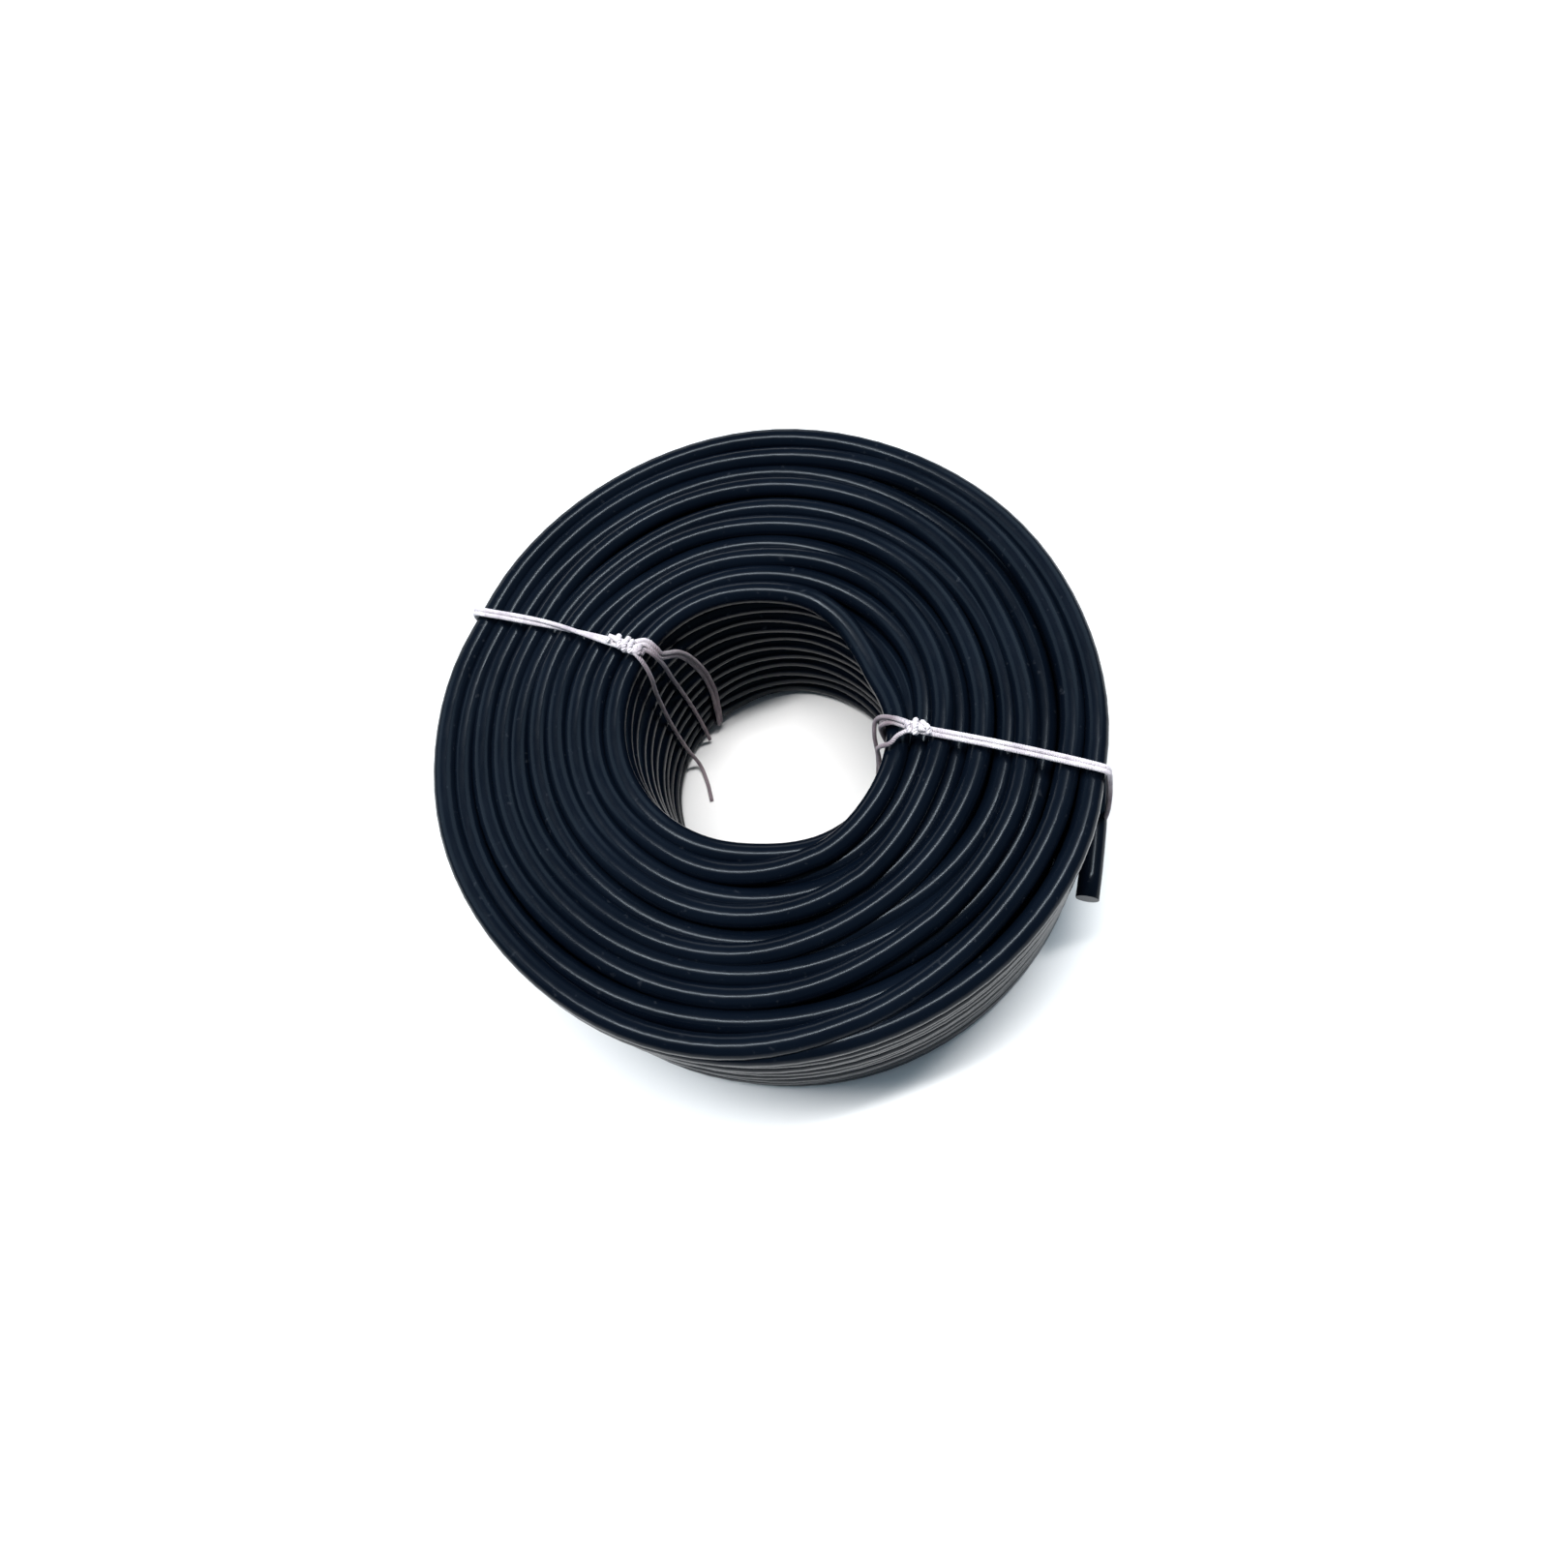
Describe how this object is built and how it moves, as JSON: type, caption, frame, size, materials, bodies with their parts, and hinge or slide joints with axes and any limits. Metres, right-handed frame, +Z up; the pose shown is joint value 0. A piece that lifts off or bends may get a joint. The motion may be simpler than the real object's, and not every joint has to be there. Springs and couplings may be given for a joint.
{
  "type": "hookup wire roll",
  "caption": "Roll of black plastic-insulated hookup wire, wound in layers round an open bore, lying flat and bound by two doubled twine ties with cut tails.",
  "frame": {"origin": "where the roll's axis meets the floor it lies on", "axes": "+Z up along the roll's axis; +X to the right of the picture's viewer and +Y away from them"},
  "size_m": [0.1329, 0.1328, 0.0537],
  "materials": {
    "insulation": "satin black PVC",
    "twine": "soft twisted twine, off-white with a pink cast"
  },
  "bodies": {
    "root": {"wire_coil": "insulation", "twine_tie_left": "twine", "twine_tie_right": "twine"}
  },
  "joints": []
}
